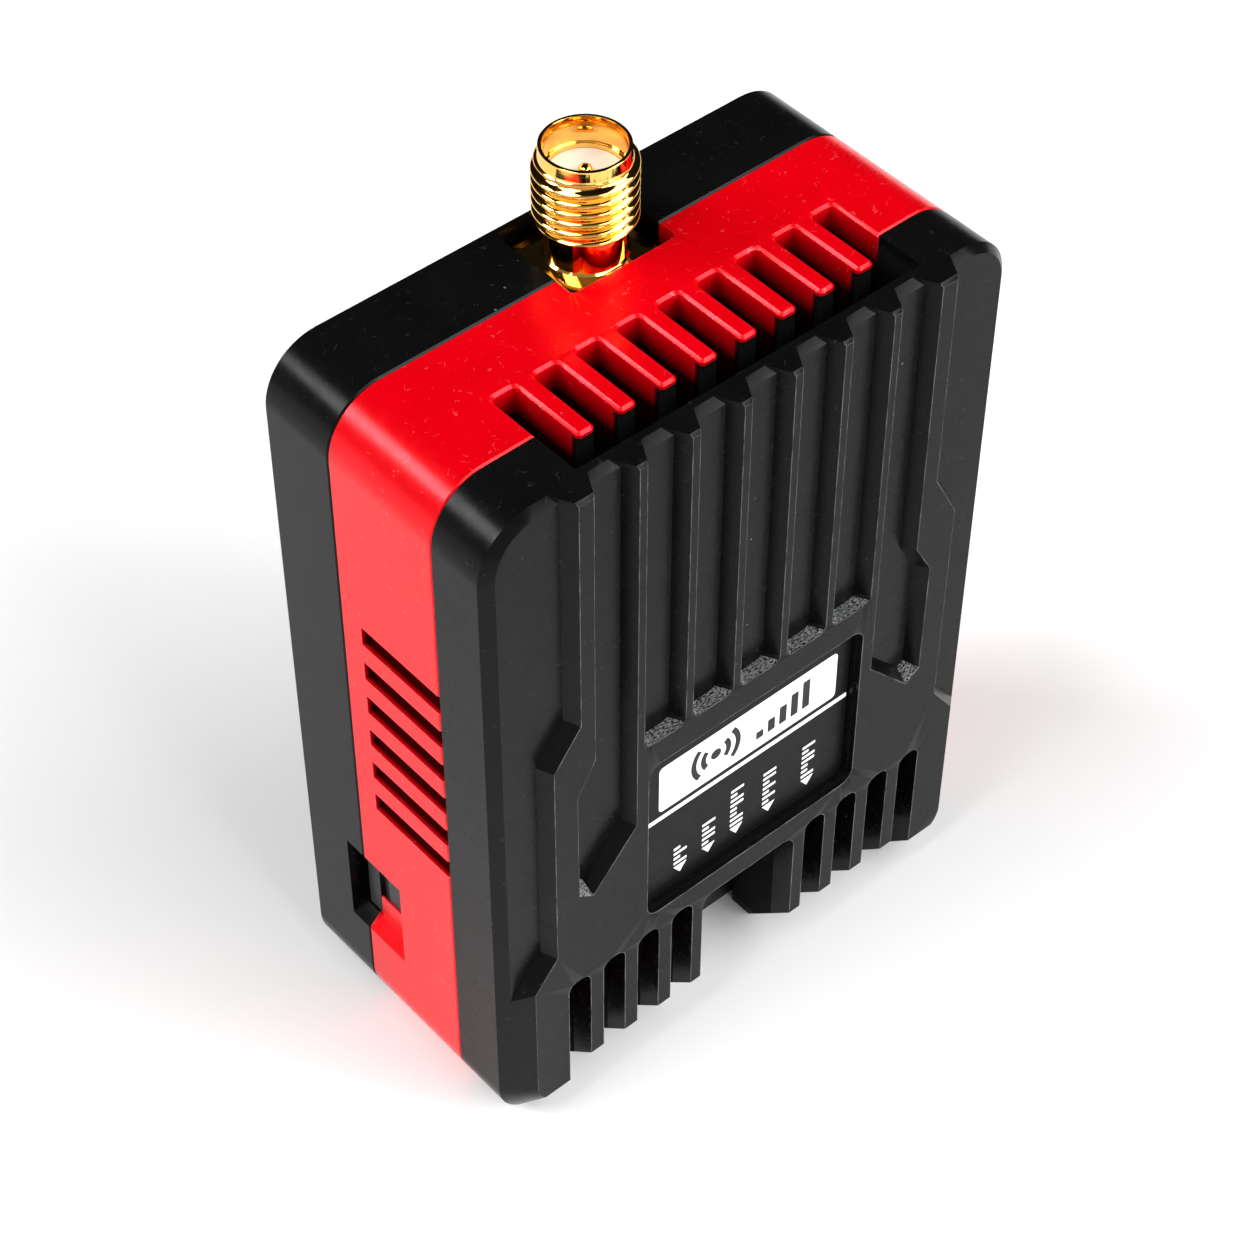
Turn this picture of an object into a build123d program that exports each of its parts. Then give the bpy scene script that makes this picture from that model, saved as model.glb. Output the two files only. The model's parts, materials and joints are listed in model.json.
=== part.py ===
from build123d import *
import os

# Video transmitter in a three-layer machined aluminium case, standing on its bottom edge.
# Origin: middle of the bottom face. +Z up along the antenna jack, front heat sink towards -Y, mm.

# ---- case, driving dimensions
CASE_W = 40.0
CASE_D = 20.66
CASE_H = 54.05
CORNER_R = 3.9
SINK_T = 5.55
FRAME_T = 9.22
FRONT_SEAM_CH = 0.2
REAR_SEAM_CH = 0.12
BACK_CH = 0.15
FRONT_Y = -CASE_D / 2
SINK_BACK = FRONT_Y + SINK_T
FRAME_BACK = SINK_BACK + FRAME_T
BACK_Y = CASE_D / 2
LEFT_X = -CASE_W / 2
REACH = 1.0  # how far a cut runs past the face that it opens
FIT_GAP = 0.03
CLEARANCE = 0.1
SEAM_TOLERANCE = 1e-4

# ---- front heat sink
RIM_DEPTH = 1.63
RIM_SIDE = 1.92
FLOOR_DEPTH = 1.0
FLOOR_SIDE = 0.75
FLOOR_TOP = 0.35
WALL_SLOPE = 0.55
MOUTH_REACH = 0.2
RIB_PITCH = 3.83
RIB_W = 0.55
GROOVE_END_Z = 30.5
GROOVE_CORNER_R = 0.5
OUTER_RIB_IN = 13.12
JOG_START_Z = 23.9
JOG = [(13.35, 20.0), (14.45, 20.8), (14.5, 30.0)]
JOG_END_Z = 32.5
RIB_TOP_CH = 0.22
BLOCK_CH = 2.47
FIN_CH = 3.85
RECESS_W = 17.5
RECESS_Z = (14.15, 28.2)
RECESS_DEPTH = 0.95
RECESS_R = 0.85
LIP_DEPTH = 0.4
LIP_W = 0.16
LABEL_GAP = 0.05
LABEL_T = 0.15
SLOT_W = 1.8
SLOT_PITCH = 2.865
SLOT_TOP_Z = 12.44
SLOT_R = 0.75
LEFT_SLOT_X = -14.5
RIGHT_SLOT_X = 5.75
SLOTS_PER_SIDE = 4
GAP_X = (-4.14, 3.9)
GAP_TOP_Z = 12.08
GAP_R = 1.0
GAP_RELIEF = 0.7
CHANNEL_X = (-12.6, 13.35)
CHANNEL_Y = FRONT_Y + 2.15
CHANNEL_Z = 14.6
TOP_WALL = 3.6
OPEN_Z = CASE_H + 3
FIN_OVERHANG = 0.1
FIN_ROOT = 0.5
POST_INSET = (0.2, 0.08)
MARGIN_FAR_X = 25.0
SHELF_X = 16.25
SHELF_RUN = 5.75
# Outer rib's X, the upper jog's (high, low) Z, then the lower jog's Z and slope.
LEFT_MARGIN = (14.18, (36.2, 33.5), (16.1, 1.19))
RIGHT_MARGIN = (14.3, (37.7, 34.0), (17.0, 1.44))

# ---- comb in the top of the mid frame
COMB_SLOTS = 9
COMB_PITCH = 3.01
COMB_SLOT_W = 1.78
COMB_SLOT_R = 0.35
COMB_CH = 0.17
COMB_X = -12.53
COMB_BACK_Y = FRONT_Y + 9.5
TOOTH_FRONT_Y = FRONT_Y + 4.1
TOOTH_CAP = 0.4
TOOTH_R = 0.3
POST_Y = (FRONT_Y + 4.18, FRONT_Y + 4.7)

# ---- mid frame and back cover
SIDE_WALL = 1.8
BOTTOM_WALL = 2.0
COVER_WALL = 1.5
COVER_BACK = 1.2
VENTS = 6
VENT_H = 1.46
VENT_PITCH = 2.98
VENT_LOW_Z = 22.55
VENT_BACK_Y = FRONT_Y + 12.86
SCREW_X = 16.8
SCREW_Z = (4.4, CASE_H - 4.4)
POST = 5.0
POST_OUT = 1.6
SCREW_R = 1.0
SCREW_HEAD_R = 1.9
SCREW_HEAD_H = 1.1
SOCKET_SHARE = 0.75
SOCKET_DEPTH_SHARE = 0.55
SCREW_TIP_Y = FRONT_Y + 2.6

# ---- side port and its switch
PORT_Y = (FRONT_Y + 11.07, FRONT_Y + 16.5)
PORT_Z = (8.0, 15.4)
PORT_DEPTH = 0.86
PORT_SILL_Z = 11.0
PORT_LIP_Y = FRONT_Y + 14.35
SWITCH_Y = (FRONT_Y + 11.75, FRONT_Y + 15.8)
SWITCH_Z = (9.05, 15.25)
SWITCH_X = (LEFT_X + 0.98, LEFT_X + 4.6)
SWITCH_SLOT_Y = (FRONT_Y + 13.6, FRONT_Y + 14.6)
SWITCH_SLOT_DEPTH = 2.6
SWITCH_SILL = 1.2
BUTTON_X = (0.35, 2.3)
BUTTON_CLEAR = 0.04
BUTTON_TOP_GAP = 0.3

# ---- antenna jack
JACK_X = 0.45
JACK_Y = FRONT_Y + 16.6
POCKET_X = (-3.48, 4.5)
POCKET_Y = (FRONT_Y + 13.17, FRONT_Y + 20.1)
POCKET_DEPTH = 2.15
POCKET_R = 0.35
FLANGE_W = 6.6
FLANGE_D = 5.95
FLANGE_T = 1.2
FLANGE_R = 0.3
FLANGE_Z = CASE_H - 0.9
NECK_R = 2.5
THREAD_R = 3.175
THREAD_ROOT_R = 2.76
THREAD_PITCH = 0.7056
THREAD_Z = (CASE_H + 1.55, CASE_H + 5.85)
RIM_Z = CASE_H + 6.78
RIM_R = 2.73
BORE_R = 2.47
RIM_CH = (0.1, 0.15)
BORE_CH = (0.06, 0.1)
SEAT_H = 0.3
CREST_SHARE = 0.14
PTFE_R = 2.3
PTFE_TAIL_R = 1.4
PTFE_Z = CASE_H + 4.62
PIN_R = 0.45
PIN_Z = CASE_H + 5.2
BARREL_R = 2.1
BARREL_Z = CASE_H - 4.3
LEG_L = 3.2
LEG_X = (0.9, 1.9)
LEG_T = 0.7
PIN_TAIL = 1.8

# ---- circuit board
BOARD_T = 1.6
BOARD_X = 17.6
BOARD_Z = (2.4, CASE_H - 4.4)
BOARD_Y = (JACK_Y - BOARD_T / 2, JACK_Y + BOARD_T / 2)
BOARD_SCREW_X = 11.0
BOARD_SCREW_Z = (17.0, 38.0)
BOARD_SCREW_R = 0.8
BOARD_SCREW_HEAD_R = 1.7
BOARD_SCREW_HEAD_H = 1.0
BOSS_R = 2.2
BOARD_HOLE_R = 1.1
BOARD_NOTCH_GAP = 0.4

# ---- cooling fan
FAN_SIZE = 30.0
FAN_Y = (SINK_BACK + 0.7, VENT_BACK_Y + 0.2)
FAN_Z = 29.5
FAN_BORE_R = 13.8
BLADE_R = 13.3
HUB_R = 7.0
BLADES = 7
BLADE_T = 0.7
BLADE_CHORD = 7.5
BLADE_PITCH = 35.0
BLADE_ROOT = 1.5
HUB_WALL = 0.7
MAGNET_T = 0.8
SHAFT_R = 0.75
SHAFT_GAP = 0.03
BEARING_R = 1.6
TUBE_R = 2.4
MOTOR_BASE_R = 6.0
MOTOR_BASE_T = 0.9
ARMS = 3
ARM_W = 1.4
CORE_R = 3.4
POLES = 4
POLE_X = (2.5, 5.2)
POLE_W = 2.2
FRAME_R = 2.0
BEARING_Y = (FAN_Y[0] + 1.4, FAN_Y[1] - 0.5)
CORE_Y = (FAN_Y[0] + 1.9, FAN_Y[1] - 1.4)
ROTOR_Y = (FAN_Y[0] + 0.4, FAN_Y[1] - 1.4)
MAGNET_Y = (FAN_Y[0] + 1.1, FAN_Y[1] - 1.5)
SHAFT_Y = (FAN_Y[0] + 0.4, FAN_Y[1] - 0.8)
GASKET_W = 1.4
RAIL_ROOT = 0.5
RAIL_LAP = 1.0
RAIL_T = 1.2
RAIL_REACH = 14.0
RAIL_GAP = 9.0

# ---- wire connector, on its own small board
CONNECTOR_Y = (SINK_BACK + 0.55, SINK_BACK + 5.6)
CONNECTOR_Z = (0.1, 12.3)
MOUTH_INSET = (0.3, 0.6)
MOUTH_TOP_Z = 6.4
CONTACTS = 5
CONTACT_PITCH = 1.25
CONTACT_W = 0.4
CONTACT_LOW_Z = 1.2
SMALL_BOARD_X = 8.5
SMALL_BOARD_T = 1.0
SMALL_BOARD_TOP = 12.4
HEADER_X = 6.0
HEADER_Z = (3.0, 5.6)

# ---- components on the circuit board: (low, high) in X and Z, and heights
CAN_X = (-8.5, 8.5)
CAN_Z = (37.8, 46.2)
CAN_H = 2.0
CAN_WALL = 0.2
CAN_R = 0.6
AMPLIFIER = ((-3.5, 3.5), (36.0, 43.0), 0.9)
PAD_X = (-5.0, 5.0)
PAD_Z = (34.5, 44.5)
MICROCONTROLLER = ((-9.0, -2.0), (24.0, 31.0), 0.9)
VIDEO_PROCESSOR = ((2.0, 8.0), (24.0, 30.0), 1.0)
CRYSTAL = ((-1.2, 1.2), (33.0, 36.2), 0.8)
BUCK_CONVERTER = ((-1.5, 1.5), (17.0, 20.0), 0.9)
TANTALUM_X = (-9.5, -5.3, 5.2, 9.4)
TANTALUM_W = 3.5
TANTALUM_Z = (6.5, 9.3)
TANTALUM_H = 1.9
INDUCTOR_X = (-6.4, 1.8)
INDUCTOR_W = 4.6
INDUCTOR_Z = (11.2, 15.4)
INDUCTOR_H = 2.4
CHIP_X = 15.6
CHIPS_PER_ROW = 5
CHIP_LOW_Z = 22.0
CHIP_PITCH = 2.2
CHIP_SIZE = (1.6, 0.9, 0.8)


def box(x, y, z):
    """Block from three (low, high) pairs."""
    size = [pair[1] - pair[0] for pair in (x, y, z)]
    middle = [(pair[0] + pair[1]) / 2 for pair in (x, y, z)]
    return Pos(*middle) * Box(*size)


def rod_y(x, z, radius, y):
    """Cylinder along Y."""
    return Pos(x, (y[0] + y[1]) / 2, z) * Rot(90, 0, 0) * Cylinder(radius, y[1] - y[0])


def rod_z(x, y, radius, z):
    """Cylinder along Z."""
    return Pos(x, y, (z[0] + z[1]) / 2) * Cylinder(radius, z[1] - z[0])


def wall_plane(y):
    """Plane parallel to the front face: local x is X, local y is Z, normal is -Y."""
    return Plane(origin=(0, y, 0), x_dir=(1, 0, 0), z_dir=(0, -1, 0))


def outline(y, side=0.0, top=0.0, bottom=0.0, radius=CORNER_R):
    """Rounded case outline at depth y, drawn in from each side."""
    height = CASE_H - top - bottom
    return wall_plane(y) * Pos(0, bottom + height / 2) * RectangleRounded(CASE_W - 2 * side, height, radius)


def slab(y):
    """Full case outline between two depths."""
    return extrude(outline(y[1]), amount=y[1] - y[0])


def prism_y(points, y):
    """Closed (x, z) outline extruded between two depths."""
    return extrude(wall_plane(y[1]) * make_face(Polyline(points, close=True)), amount=y[1] - y[0])


def prism_x(points, x):
    """Closed (y, z) outline extruded along X."""
    return extrude(Plane.YZ.offset(x[0]) * make_face(Polyline(points, close=True)), amount=x[1] - x[0])


def seam_edges(shape, y):
    """Edges that lie in the plane at depth y."""
    return shape.edges().filter_by(lambda e: abs(e.center().Y - y) < SEAM_TOLERANCE)


def seam_chamfer(shape, y, size):
    """Small chamfer round the case outline where two layers meet."""
    return chamfer(seam_edges(shape, y), size)


def corner_rods(radius, y):
    """Cylinders along Y on the axes of the four case screws."""
    return [rod_y(side * SCREW_X, z, radius, y) for side in (-1, 1) for z in SCREW_Z]


def board_rods(radius, y):
    """Cylinders along Y on the axes of the four board screws."""
    return [rod_y(side * BOARD_SCREW_X, z, radius, y) for side in (-1, 1) for z in BOARD_SCREW_Z]


# ---------------------------------------------------------------- front heat sink
def slanted_cut(points, side):
    """Cut with slanted walls, narrower towards the back, from its outline on the front face."""
    face = make_face(Polyline(points, close=True))
    mouth = offset(face, amount=WALL_SLOPE * MOUTH_REACH, kind=Kind.INTERSECTION)
    foot = offset(face, amount=-WALL_SLOPE * RIM_DEPTH, kind=Kind.INTERSECTION)
    ends = [wall_plane(FRONT_Y - MOUTH_REACH) * mouth, wall_plane(FRONT_Y + RIM_DEPTH) * foot]
    cut = loft(ends, ruled=True)
    return cut if side > 0 else mirror(cut, Plane.YZ)


def straight_groove(x):
    """Groove between two middle ribs: slanted sides, square lower end, open at the top."""
    mouth = (RIB_PITCH - RIB_W) / 2 + WALL_SLOPE * MOUTH_REACH
    foot = (RIB_PITCH - RIB_W) / 2 - WALL_SLOPE * RIM_DEPTH
    y = (FRONT_Y - MOUTH_REACH, FRONT_Y + RIM_DEPTH)
    section = Polyline([(x - mouth, y[0]), (x + mouth, y[0]), (x + foot, y[1]), (x - foot, y[1])], close=True)
    cut = extrude(Pos(0, 0, GROOVE_END_Z) * make_face(section), amount=OPEN_Z - GROOVE_END_Z)
    corners = cut.edges().group_by(Axis.Z)[0].filter_by(lambda e: abs(e.tangent_at(0.5).X) < 0.9)
    return fillet(corners, GROOVE_CORNER_R)


def jogged_groove(side):
    """Wide outer groove: it jogs outwards, and its lower end is cut on the diagonal."""
    inner = 2.5 * RIB_PITCH + RIB_W / 2
    points = [(inner, OPEN_Z), (inner, JOG_START_Z), *JOG, (OUTER_RIB_IN, JOG_END_Z), (OUTER_RIB_IN, OPEN_Z)]
    return slanted_cut(points, side)


def margin_cut(side, rib_x, upper_jog, lower_jog):
    """Strip between the outer rib and the rim, from the top down to the solid foot."""
    end_z = lower_jog[0] - SHELF_RUN * lower_jog[1]
    points = [
        (MARGIN_FAR_X, OPEN_Z),
        (rib_x, OPEN_Z),
        (rib_x, upper_jog[0]),
        (SHELF_X, upper_jog[1]),
        (SHELF_X, lower_jog[0]),
        (SHELF_X + SHELF_RUN, end_z),
        (MARGIN_FAR_X, end_z),
    ]
    return slanted_cut(points, side)


def slot_starts():
    """Left edges of the vertical slots in the lower edge."""
    left = [LEFT_SLOT_X - SLOT_W / 2 + i * SLOT_PITCH for i in range(SLOTS_PER_SIDE)]
    right = [RIGHT_SLOT_X - SLOT_W / 2 + i * SLOT_PITCH for i in range(SLOTS_PER_SIDE)]
    return left + right


def round_top_cut(x, top, radius):
    """Opening through the heat sink from its lower edge, with a rounded top."""
    cut = box(x, (FRONT_Y - REACH, SINK_BACK + REACH), (-REACH, top))
    return fillet(cut.edges().filter_by(Axis.Y).group_by(Axis.Z)[-1], radius)


def tooth_starts():
    """Left edges of the teeth of the comb."""
    return [COMB_X + COMB_SLOT_W + i * COMB_PITCH for i in range(COMB_SLOTS - 1)]


def channel_fins():
    """Fins inside the heat sink, one behind each comb tooth, each with a post in front of the tooth."""
    tooth = COMB_PITCH - COMB_SLOT_W
    fin_y = (CHANNEL_Y - FIN_ROOT, SINK_BACK)
    fin_z = (CHANNEL_Z - FIN_ROOT, CASE_H - TOP_WALL - FIN_OVERHANG)
    post_z = (CHANNEL_Z, CASE_H - TOOTH_CAP - FIT_GAP)
    fins = []
    for x in tooth_starts():
        fins.append(box((x - FIN_OVERHANG, x + tooth + FIN_OVERHANG), fin_y, fin_z))
        fins.append(box((x + POST_INSET[0], x + tooth - POST_INSET[1]), POST_Y, post_z))
    return fins


def front_heatsink():
    """Finned front shell."""
    floor_y = FRONT_Y + FLOOR_DEPTH
    rim = outline(FRONT_Y + RIM_DEPTH)
    floor_edge = outline(floor_y, FLOOR_SIDE, FLOOR_TOP, FLOOR_SIDE, CORNER_R - FLOOR_SIDE)
    rib_edge = outline(FRONT_Y, RIM_SIDE, 0, RIM_SIDE, CORNER_R - RIM_SIDE)
    floor = loft([rim, floor_edge], ruled=True)
    ribs = loft([rim, rib_edge], ruled=True)
    ribs -= [straight_groove(i * RIB_PITCH) for i in range(-2, 3)]
    ribs -= [jogged_groove(-1), jogged_groove(1)]
    ribs -= margin_cut(-1, *LEFT_MARGIN)
    ribs -= margin_cut(1, *RIGHT_MARGIN)
    front = FRONT_Y - REACH
    over = CASE_H + REACH
    top = [(front, over), (front, CASE_H - RIB_TOP_CH - REACH), (FRONT_Y + RIB_TOP_CH + REACH, over)]
    ribs -= prism_x(top, (-CASE_W, CASE_W))
    shell = slab((FRONT_Y + RIM_DEPTH, SINK_BACK)) + floor + ribs
    shell -= chamfer_cut(BLOCK_CH, (-CASE_W, CASE_W))
    starts = slot_starts()
    shell -= chamfer_cut(FIN_CH, (starts[0] + SLOT_W / 2, starts[-1] + SLOT_W / 2))
    shell -= [round_top_cut((x, x + SLOT_W), SLOT_TOP_Z, SLOT_R) for x in starts]
    shell -= round_top_cut(GAP_X, GAP_TOP_Z, GAP_R)
    shell -= label_recess()
    shell -= box(CHANNEL_X, (CHANNEL_Y, SINK_BACK + REACH), (CHANNEL_Z, CASE_H + REACH))
    shell += channel_fins()
    shell -= corner_rods(SCREW_R, (SCREW_TIP_Y - 0.2, SINK_BACK + REACH))
    return shell


def chamfer_cut(size, x):
    """45 degree chamfer along the lower front edge."""
    front = FRONT_Y - REACH
    points = [(front, -REACH), (front, size + REACH), (FRONT_Y + size + REACH, -REACH)]
    return prism_x(points, x)


def label_recess():
    """Two-step rounded pocket that the label lies in."""
    height = RECESS_Z[1] - RECESS_Z[0]
    middle = (RECESS_Z[0] + RECESS_Z[1]) / 2
    lip = RectangleRounded(RECESS_W + 2 * LIP_W, height + 2 * LIP_W, RECESS_R + LIP_W)
    well = RectangleRounded(RECESS_W, height, RECESS_R)
    cuts = []
    for shape, depth in ((lip, LIP_DEPTH), (well, RECESS_DEPTH)):
        cuts.append(extrude(wall_plane(FRONT_Y + depth) * Pos(0, middle) * shape, amount=depth + REACH))
    return cuts


def label():
    """Thin printed plate in the recess."""
    height = RECESS_Z[1] - RECESS_Z[0] - 2 * LABEL_GAP
    middle = (RECESS_Z[0] + RECESS_Z[1]) / 2
    sheet = RectangleRounded(RECESS_W - 2 * LABEL_GAP, height, RECESS_R - LABEL_GAP)
    return extrude(wall_plane(FRONT_Y + RECESS_DEPTH) * Pos(0, middle) * sheet, amount=LABEL_T)


# ---------------------------------------------------------------- mid frame
def comb_cut(x):
    """One slot of the comb, with a small chamfer round its mouth."""
    y = (SINK_BACK - 3 * REACH, COMB_BACK_Y)
    cut = box((x, x + COMB_SLOT_W), y, (CASE_H - TOP_WALL - REACH, CASE_H + REACH))
    cut = fillet(cut.edges().filter_by(Axis.Z).group_by(Axis.Y)[-1], COMB_SLOT_R)
    mouth = offset(make_face(cut.faces().sort_by(Axis.Z)[-1].outer_wire()), amount=COMB_CH)
    flare = extrude(Pos(0, 0, -REACH) * mouth, amount=-COMB_CH, taper=45)
    return cut + flare + extrude(Pos(0, 0, -REACH) * mouth, amount=REACH / 2)


def comb_tooth(x):
    """Front end of one tooth: a rounded cap that runs on over the post in front of it."""
    tooth = (x, x + COMB_PITCH - COMB_SLOT_W)
    root_y = SINK_BACK + REACH
    cap = box(tooth, (TOOTH_FRONT_Y, root_y), (CASE_H - TOOTH_CAP, CASE_H))
    cap = fillet(cap.edges().filter_by(Axis.Z).group_by(Axis.Y)[0], TOOTH_R)
    top = cap.faces().sort_by(Axis.Z)[-1].edges().filter_by(lambda e: e.center().Y < root_y - COMB_CH)
    cap = chamfer(top, COMB_CH)
    return cap + box(tooth, (POST_Y[1] + FIT_GAP, root_y), (CASE_H - TOP_WALL, CASE_H - TOOTH_CAP))


def port_recess():
    """Finger recess in the left face, with a sloped lower end."""
    out = LEFT_X - REACH
    points = [
        (out, PORT_Z[0] - REACH),
        (LEFT_X + PORT_DEPTH, PORT_Z[0] + PORT_DEPTH),
        (LEFT_X + PORT_DEPTH, PORT_Z[1]),
        (out, PORT_Z[1]),
    ]
    return prism_y(points, PORT_Y)


def jack_pocket():
    """Rectangular pocket in the top for the jack's flange, with a hole for its barrel."""
    cut = box(POCKET_X, POCKET_Y, (CASE_H - POCKET_DEPTH, CASE_H + REACH))
    cut = fillet(cut.edges().filter_by(Axis.Z), POCKET_R)
    return cut + rod_z(JACK_X, JACK_Y, BARREL_R + CLEARANCE, (CASE_H - TOP_WALL - REACH, CASE_H))


def corner_posts(y):
    """Square posts in the four inner corners, which the case screws pass through."""
    posts = []
    for side in (-1, 1):
        x = sorted((side * (SCREW_X - POST / 2), side * (SCREW_X + POST_OUT)))
        for z in SCREW_Z:
            posts.append(box(x, y, (z - POST / 2, z + POST / 2)))
    return posts


def mid_frame():
    """Middle ring of the case: comb on top, vents at the sides, port on the left."""
    y = (SINK_BACK, FRAME_BACK)
    ring = slab(y)
    ring = seam_chamfer(ring, y[0], FRONT_SEAM_CH)
    ring = seam_chamfer(ring, y[1], REAR_SEAM_CH)
    inner = CASE_W / 2 - SIDE_WALL
    through = (y[0] - REACH, y[1] + REACH)
    ring -= box((-inner, inner), through, (BOTTOM_WALL, CASE_H - TOP_WALL))
    ring += corner_posts(y)
    ring -= [comb_cut(COMB_X + i * COMB_PITCH) for i in range(COMB_SLOTS)]
    ring += [comb_tooth(x) for x in tooth_starts()]
    ring -= [vent_cut(i) for i in range(VENTS)]
    ring -= port_recess()
    hole_x = (LEFT_X - REACH, LEFT_X + SIDE_WALL + REACH)
    ring -= box(hole_x, (PORT_Y[0], through[1]), (PORT_SILL_Z, PORT_Z[1]))
    ring -= box(hole_x, (PORT_LIP_Y, through[1]), (PORT_Z[0] + PORT_DEPTH, PORT_Z[1]))
    switch_z = (SWITCH_Z[0] - CLEARANCE, SWITCH_Z[1] + CLEARANCE)
    ring -= box(SWITCH_X, (SWITCH_Y[0] - CLEARANCE, through[1]), switch_z)
    ring -= jack_pocket()
    opening_x = (GAP_X[0] - GAP_RELIEF, GAP_X[1] + GAP_RELIEF)
    ring -= box(opening_x, (through[0], CONNECTOR_Y[1] + 0.2), (-REACH, BOTTOM_WALL + REACH))
    ring -= corner_rods(SCREW_R + CLEARANCE, through)
    ring += [fan_rail(side) for side in (-1, 1)]
    return ring


def vent_cut(index):
    """Vent through both side walls, open towards the front heat sink."""
    z = VENT_LOW_Z + index * VENT_PITCH - VENT_H / 2
    return box((-CASE_W, CASE_W), (SINK_BACK - REACH, VENT_BACK_Y), (z, z + VENT_H))


def fan_rail(side):
    """Upright rail behind the fan's side, joined to the side wall at its ends."""
    inner = CASE_W / 2 - SIDE_WALL + RAIL_ROOT
    x = sorted((side * (FAN_SIZE / 2 - RAIL_LAP), side * inner))
    y = (FAN_Y[1], FAN_Y[1] + RAIL_T)
    rail = box(x, y, (FAN_Z - RAIL_REACH, FAN_Z + RAIL_REACH))
    return rail - box(x, (y[0] - REACH, y[1] + REACH), (FAN_Z - RAIL_GAP, FAN_Z + RAIL_GAP))


# ---------------------------------------------------------------- back cover
def back_cover():
    """Rear shell that holds the circuit board."""
    y = (FRAME_BACK, BACK_Y)
    shell = slab(y)
    shell = seam_chamfer(shell, y[0], REAR_SEAM_CH)
    shell = seam_chamfer(shell, y[1], BACK_CH)
    inner = CASE_W / 2 - COVER_WALL
    inside_y = y[1] - COVER_BACK
    shell -= box((-inner, inner), (y[0] - REACH, inside_y), (COVER_WALL, CASE_H - TOP_WALL))
    shell += corner_posts((BOARD_Y[1], inside_y))
    shell += board_rods(BOSS_R, (BOARD_Y[1], inside_y))
    shell -= port_recess()
    hole_x = (LEFT_X - REACH, LEFT_X + COVER_WALL + REACH)
    shell -= box(hole_x, (y[0] - REACH, PORT_Y[1]), (PORT_Z[0] + PORT_DEPTH, PORT_Z[1]))
    shell -= jack_pocket()
    shell -= corner_rods(SCREW_R + CLEARANCE, (y[0] - REACH, y[1] + REACH))
    shell -= corner_rods(SCREW_HEAD_R + CLEARANCE, (y[1] - SCREW_HEAD_H, y[1] + REACH))
    shell -= board_rods(BOARD_SCREW_R, (BOARD_Y[1] - REACH, inside_y))
    return shell


def screw(x, z, head, tip, head_r, shank_r):
    """Socket-head screw along Y: head at the higher or lower Y of the pair."""
    sign = 1 if tip > head[1] else -1
    head_rod = rod_y(x, z, head_r, head)
    seat = head[1] if sign > 0 else head[0]
    shank = rod_y(x, z, shank_r, sorted((seat, tip)))
    face = head[0] if sign > 0 else head[1]
    hexagon = wall_plane(face) * Pos(x, z) * RegularPolygon(shank_r * SOCKET_SHARE, 6)
    depth = SOCKET_DEPTH_SHARE * (head[1] - head[0])
    return head_rod + shank - extrude(hexagon, amount=depth, both=True)


def case_screws():
    """Four screws from the back, through the frame, into the front heat sink."""
    head = (BACK_Y - SCREW_HEAD_H, BACK_Y - 0.05)
    places = [(side * SCREW_X, z) for side in (-1, 1) for z in SCREW_Z]
    return [screw(x, z, head, SCREW_TIP_Y, SCREW_HEAD_R, SCREW_R) for x, z in places]


# ---------------------------------------------------------------- antenna jack
def jack_body():
    """Turned jack on a square flange, with board legs below."""
    z0, z1 = THREAD_Z
    profile = [(PTFE_R, FLANGE_Z - FLANGE_T), (NECK_R, FLANGE_Z - FLANGE_T), (NECK_R, z0)]
    turns = int((z1 - z0) / THREAD_PITCH)
    flat = THREAD_PITCH * CREST_SHARE
    for i in range(turns):
        base = z0 + i * THREAD_PITCH
        profile += [(THREAD_ROOT_R, base), (THREAD_R, base + THREAD_PITCH / 2 - flat)]
        profile += [(THREAD_R, base + THREAD_PITCH / 2 + flat)]
    seat_z = PTFE_Z + SEAT_H
    profile += [(THREAD_ROOT_R, z0 + turns * THREAD_PITCH), (RIM_R, z1), (RIM_R, RIM_Z - RIM_CH[1])]
    profile += [(RIM_R - RIM_CH[0], RIM_Z), (BORE_R + BORE_CH[0], RIM_Z), (BORE_R, RIM_Z - BORE_CH[1])]
    profile += [(BORE_R, seat_z), (PTFE_R, seat_z)]
    turned = revolve(Plane.XZ * make_face(Polyline(profile, close=True)), Axis.Z)
    flange_z = (FLANGE_Z - FLANGE_T, FLANGE_Z)
    flange = box((-FLANGE_W / 2, FLANGE_W / 2), (-FLANGE_D / 2, FLANGE_D / 2), flange_z)
    flange = fillet(flange.edges().filter_by(Axis.Z), FLANGE_R)
    barrel = rod_z(0, 0, BARREL_R, (BARREL_Z, FLANGE_Z))
    hollow = insulator_shape(BARREL_Z - REACH)
    body = turned + flange + barrel - hollow
    half = BOARD_T / 2
    for side in (-1, 1):
        x = sorted((side * LEG_X[0], side * LEG_X[1]))
        for y in ((half, half + LEG_T), (-half - LEG_T, -half)):
            body += box(x, y, (BARREL_Z - LEG_L, BARREL_Z))
    return Pos(JACK_X, JACK_Y, 0) * body


def insulator_shape(low):
    """Stepped plug: wide in the jack, narrow through the flange and down to the given height."""
    wide = rod_z(0, 0, PTFE_R, (FLANGE_Z - FLANGE_T / 2, PTFE_Z))
    return wide + rod_z(0, 0, PTFE_TAIL_R, (low, FLANGE_Z))


def jack_dielectric():
    """PTFE insulator between the jack's body and its pin."""
    ring = insulator_shape(BARREL_Z) - rod_z(0, 0, PIN_R, (BARREL_Z - REACH, PTFE_Z + REACH))
    return Pos(JACK_X, JACK_Y, 0) * ring


def jack_pin():
    """Centre pin with a domed tip; its tail reaches into the board's notch."""
    pin = rod_z(0, 0, PIN_R, (BARREL_Z - PIN_TAIL, PIN_Z))
    pin = fillet(pin.edges().sort_by(Axis.Z)[-1], PIN_R * 0.85)
    return Pos(JACK_X, JACK_Y, 0) * pin


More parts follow.
